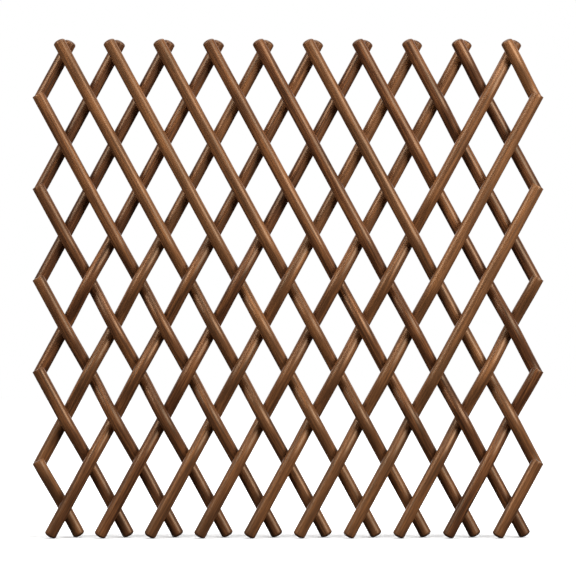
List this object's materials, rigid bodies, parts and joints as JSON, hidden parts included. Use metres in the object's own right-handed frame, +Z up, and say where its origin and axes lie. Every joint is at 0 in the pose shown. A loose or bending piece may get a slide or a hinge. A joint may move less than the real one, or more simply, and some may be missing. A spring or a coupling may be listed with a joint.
{
  "type": "trellis panel",
  "caption": "Plant trellis panel of woven round wooden rods nailed at every crossing; the diamond lattice folds narrower or wider like scissors and stands on its rod feet",
  "frame": {"origin": "centre of the panel width and depth, at the lowest point of the rod feet", "axes": "+X to the right along the panel seen from the front, +Y to the back, +Z up; the front faces -Y"},
  "size_m": [1.0174, 0.0486, 0.995],
  "materials": {
    "rod_wood": "dark walnut-brown wood stain, satin, with fine straight grain",
    "nail_steel": "bright drawn steel wire nail"
  },
  "bodies": {
    "centre_nail": {"centre_nail": "nail_steel"},
    "left_01": {"left_rod_01": "rod_wood", "left_nails_01": "nail_steel"},
    "left_02": {"left_rod_02": "rod_wood", "left_nails_02": "nail_steel"},
    "left_03": {"left_rod_03": "rod_wood", "left_nails_03": "nail_steel"},
    "left_04": {"left_rod_04": "rod_wood", "left_nails_04": "nail_steel"},
    "left_05": {"left_rod_05": "rod_wood", "left_nails_05": "nail_steel"},
    "left_06": {"left_rod_06": "rod_wood", "left_nails_06": "nail_steel"},
    "left_07": {"left_rod_07": "rod_wood", "left_nails_07": "nail_steel"},
    "left_08": {"left_rod_08": "rod_wood", "left_nails_08": "nail_steel"},
    "left_09": {"left_rod_09": "rod_wood", "left_nails_09": "nail_steel"},
    "left_10": {"left_rod_10": "rod_wood", "left_nails_10": "nail_steel"},
    "left_11": {"left_rod_11": "rod_wood", "left_nails_11": "nail_steel"},
    "left_12": {"left_rod_12": "rod_wood", "left_nails_12": "nail_steel"},
    "left_13": {"left_rod_13": "rod_wood", "left_nails_13": "nail_steel"},
    "left_14": {"left_rod_14": "rod_wood", "left_nails_14": "nail_steel"},
    "left_15": {"left_rod_15": "rod_wood", "left_nails_15": "nail_steel"},
    "right_01": {"right_rod_01": "rod_wood"},
    "right_02": {"right_rod_02": "rod_wood"},
    "right_03": {"right_rod_03": "rod_wood"},
    "right_04": {"right_rod_04": "rod_wood", "right_nails_04": "nail_steel"},
    "right_05": {"right_rod_05": "rod_wood", "right_nails_05": "nail_steel"},
    "right_06": {"right_rod_06": "rod_wood", "right_nails_06": "nail_steel"},
    "right_07": {"right_rod_07": "rod_wood", "right_nails_07": "nail_steel"},
    "right_08": {"right_rod_08": "rod_wood", "right_nails_08": "nail_steel"},
    "right_09": {"right_rod_09": "rod_wood", "right_nails_09": "nail_steel"},
    "right_10": {"right_rod_10": "rod_wood", "right_nails_10": "nail_steel"},
    "right_11": {"right_rod_11": "rod_wood", "right_nails_11": "nail_steel"},
    "right_12": {"right_rod_12": "rod_wood", "right_nails_12": "nail_steel"},
    "right_13": {"right_rod_13": "rod_wood", "right_nails_13": "nail_steel"},
    "right_14": {"right_rod_14": "rod_wood", "right_nails_14": "nail_steel"},
    "right_15": {"right_rod_15": "rod_wood", "right_nails_15": "nail_steel"}
  },
  "joints": [
    {"name": "fold", "type": "hinge", "parent": "centre_nail", "child": "left_08", "pos_m": [0, 0, 0.51468], "axis": [0, -1, 0], "range_deg": [-7, 39]},
    {"name": "right_08_turn", "type": "hinge", "parent": "centre_nail", "child": "right_08", "pos_m": [0, 0, 0.51468], "axis": [0, 1, 0], "range_deg": [-7, 39]},
    {"name": "right_01_turn", "type": "hinge", "parent": "left_06", "child": "right_01", "pos_m": [-0.44662, 0, 0.97166], "axis": [0, 1, 0], "range_deg": [-14, 78]},
    {"name": "right_02_turn", "type": "hinge", "parent": "left_06", "child": "right_02", "pos_m": [-0.397, 0, 0.88026], "axis": [0, 1, 0], "range_deg": [-14, 78]},
    {"name": "right_03_turn", "type": "hinge", "parent": "left_08", "child": "right_03", "pos_m": [-0.24812, 0, 0.97166], "axis": [0, 1, 0], "range_deg": [-14, 78]},
    {"name": "right_04_turn", "type": "hinge", "parent": "left_08", "child": "right_04", "pos_m": [-0.1985, 0, 0.88026], "axis": [0, 1, 0], "range_deg": [-14, 78]},
    {"name": "right_05_turn", "type": "hinge", "parent": "left_08", "child": "right_05", "pos_m": [-0.14887, 0, 0.78887], "axis": [0, 1, 0], "range_deg": [-14, 78]},
    {"name": "right_06_turn", "type": "hinge", "parent": "left_08", "child": "right_06", "pos_m": [-0.09925, 0, 0.69747], "axis": [0, 1, 0], "range_deg": [-14, 78]},
    {"name": "right_07_turn", "type": "hinge", "parent": "left_08", "child": "right_07", "pos_m": [-0.04963, 0, 0.60607], "axis": [0, 1, 0], "range_deg": [-14, 78]},
    {"name": "right_09_turn", "type": "hinge", "parent": "left_08", "child": "right_09", "pos_m": [0.04963, 0, 0.42328], "axis": [0, 1, 0], "range_deg": [-14, 78]},
    {"name": "right_10_turn", "type": "hinge", "parent": "left_08", "child": "right_10", "pos_m": [0.09925, 0, 0.33188], "axis": [0, 1, 0], "range_deg": [-14, 78]},
    {"name": "right_11_turn", "type": "hinge", "parent": "left_08", "child": "right_11", "pos_m": [0.14887, 0, 0.24049], "axis": [0, 1, 0], "range_deg": [-14, 78]},
    {"name": "right_12_turn", "type": "hinge", "parent": "left_08", "child": "right_12", "pos_m": [0.1985, 0, 0.14909], "axis": [0, 1, 0], "range_deg": [-14, 78]},
    {"name": "right_13_turn", "type": "hinge", "parent": "left_08", "child": "right_13", "pos_m": [0.24812, 0, 0.05769], "axis": [0, 1, 0], "range_deg": [-14, 78]},
    {"name": "right_14_turn", "type": "hinge", "parent": "left_10", "child": "right_14", "pos_m": [0.397, 0, 0.14909], "axis": [0, 1, 0], "range_deg": [-14, 78]},
    {"name": "right_15_turn", "type": "hinge", "parent": "left_10", "child": "right_15", "pos_m": [0.44662, 0, 0.05769], "axis": [0, 1, 0], "range_deg": [-14, 78]},
    {"name": "left_01_turn", "type": "hinge", "parent": "right_06", "child": "left_01", "pos_m": [-0.44662, 0, 0.05769], "axis": [0, -1, 0], "range_deg": [-14, 78]},
    {"name": "left_02_turn", "type": "hinge", "parent": "right_06", "child": "left_02", "pos_m": [-0.397, 0, 0.14909], "axis": [0, -1, 0], "range_deg": [-14, 78]},
    {"name": "left_03_turn", "type": "hinge", "parent": "right_08", "child": "left_03", "pos_m": [-0.24812, 0, 0.05769], "axis": [0, -1, 0], "range_deg": [-14, 78]},
    {"name": "left_04_turn", "type": "hinge", "parent": "right_08", "child": "left_04", "pos_m": [-0.1985, 0, 0.14909], "axis": [0, -1, 0], "range_deg": [-14, 78]},
    {"name": "left_05_turn", "type": "hinge", "parent": "right_08", "child": "left_05", "pos_m": [-0.14887, 0, 0.24049], "axis": [0, -1, 0], "range_deg": [-14, 78]},
    {"name": "left_06_turn", "type": "hinge", "parent": "right_08", "child": "left_06", "pos_m": [-0.09925, 0, 0.33188], "axis": [0, -1, 0], "range_deg": [-14, 78]},
    {"name": "left_07_turn", "type": "hinge", "parent": "right_08", "child": "left_07", "pos_m": [-0.04963, 0, 0.42328], "axis": [0, -1, 0], "range_deg": [-14, 78]},
    {"name": "left_09_turn", "type": "hinge", "parent": "right_08", "child": "left_09", "pos_m": [0.04963, 0, 0.60607], "axis": [0, -1, 0], "range_deg": [-14, 78]},
    {"name": "left_10_turn", "type": "hinge", "parent": "right_08", "child": "left_10", "pos_m": [0.09925, 0, 0.69747], "axis": [0, -1, 0], "range_deg": [-14, 78]},
    {"name": "left_11_turn", "type": "hinge", "parent": "right_08", "child": "left_11", "pos_m": [0.14887, 0, 0.78887], "axis": [0, -1, 0], "range_deg": [-14, 78]},
    {"name": "left_12_turn", "type": "hinge", "parent": "right_08", "child": "left_12", "pos_m": [0.1985, 0, 0.88026], "axis": [0, -1, 0], "range_deg": [-14, 78]},
    {"name": "left_13_turn", "type": "hinge", "parent": "right_08", "child": "left_13", "pos_m": [0.24812, 0, 0.97166], "axis": [0, -1, 0], "range_deg": [-14, 78]},
    {"name": "left_14_turn", "type": "hinge", "parent": "right_11", "child": "left_14", "pos_m": [0.44662, 0, 0.78887], "axis": [0, -1, 0], "range_deg": [-14, 78]},
    {"name": "left_15_turn", "type": "hinge", "parent": "right_11", "child": "left_15", "pos_m": [0.49624, 0, 0.88026], "axis": [0, -1, 0], "range_deg": [-14, 78]}
  ],
  "couplings": [
    {"joint": "right_08_turn", "follows": "fold", "ratio": 1},
    {"joint": "right_01_turn", "follows": "fold", "ratio": 2},
    {"joint": "right_02_turn", "follows": "fold", "ratio": 2},
    {"joint": "right_03_turn", "follows": "fold", "ratio": 2},
    {"joint": "right_04_turn", "follows": "fold", "ratio": 2},
    {"joint": "right_05_turn", "follows": "fold", "ratio": 2},
    {"joint": "right_06_turn", "follows": "fold", "ratio": 2},
    {"joint": "right_07_turn", "follows": "fold", "ratio": 2},
    {"joint": "right_09_turn", "follows": "fold", "ratio": 2},
    {"joint": "right_10_turn", "follows": "fold", "ratio": 2},
    {"joint": "right_11_turn", "follows": "fold", "ratio": 2},
    {"joint": "right_12_turn", "follows": "fold", "ratio": 2},
    {"joint": "right_13_turn", "follows": "fold", "ratio": 2},
    {"joint": "right_14_turn", "follows": "fold", "ratio": 2},
    {"joint": "right_15_turn", "follows": "fold", "ratio": 2},
    {"joint": "left_01_turn", "follows": "fold", "ratio": 2},
    {"joint": "left_02_turn", "follows": "fold", "ratio": 2},
    {"joint": "left_03_turn", "follows": "fold", "ratio": 2},
    {"joint": "left_04_turn", "follows": "fold", "ratio": 2},
    {"joint": "left_05_turn", "follows": "fold", "ratio": 2},
    {"joint": "left_06_turn", "follows": "fold", "ratio": 2},
    {"joint": "left_07_turn", "follows": "fold", "ratio": 2},
    {"joint": "left_09_turn", "follows": "fold", "ratio": 2},
    {"joint": "left_10_turn", "follows": "fold", "ratio": 2},
    {"joint": "left_11_turn", "follows": "fold", "ratio": 2},
    {"joint": "left_12_turn", "follows": "fold", "ratio": 2},
    {"joint": "left_13_turn", "follows": "fold", "ratio": 2},
    {"joint": "left_14_turn", "follows": "fold", "ratio": 2},
    {"joint": "left_15_turn", "follows": "fold", "ratio": 2}
  ]
}
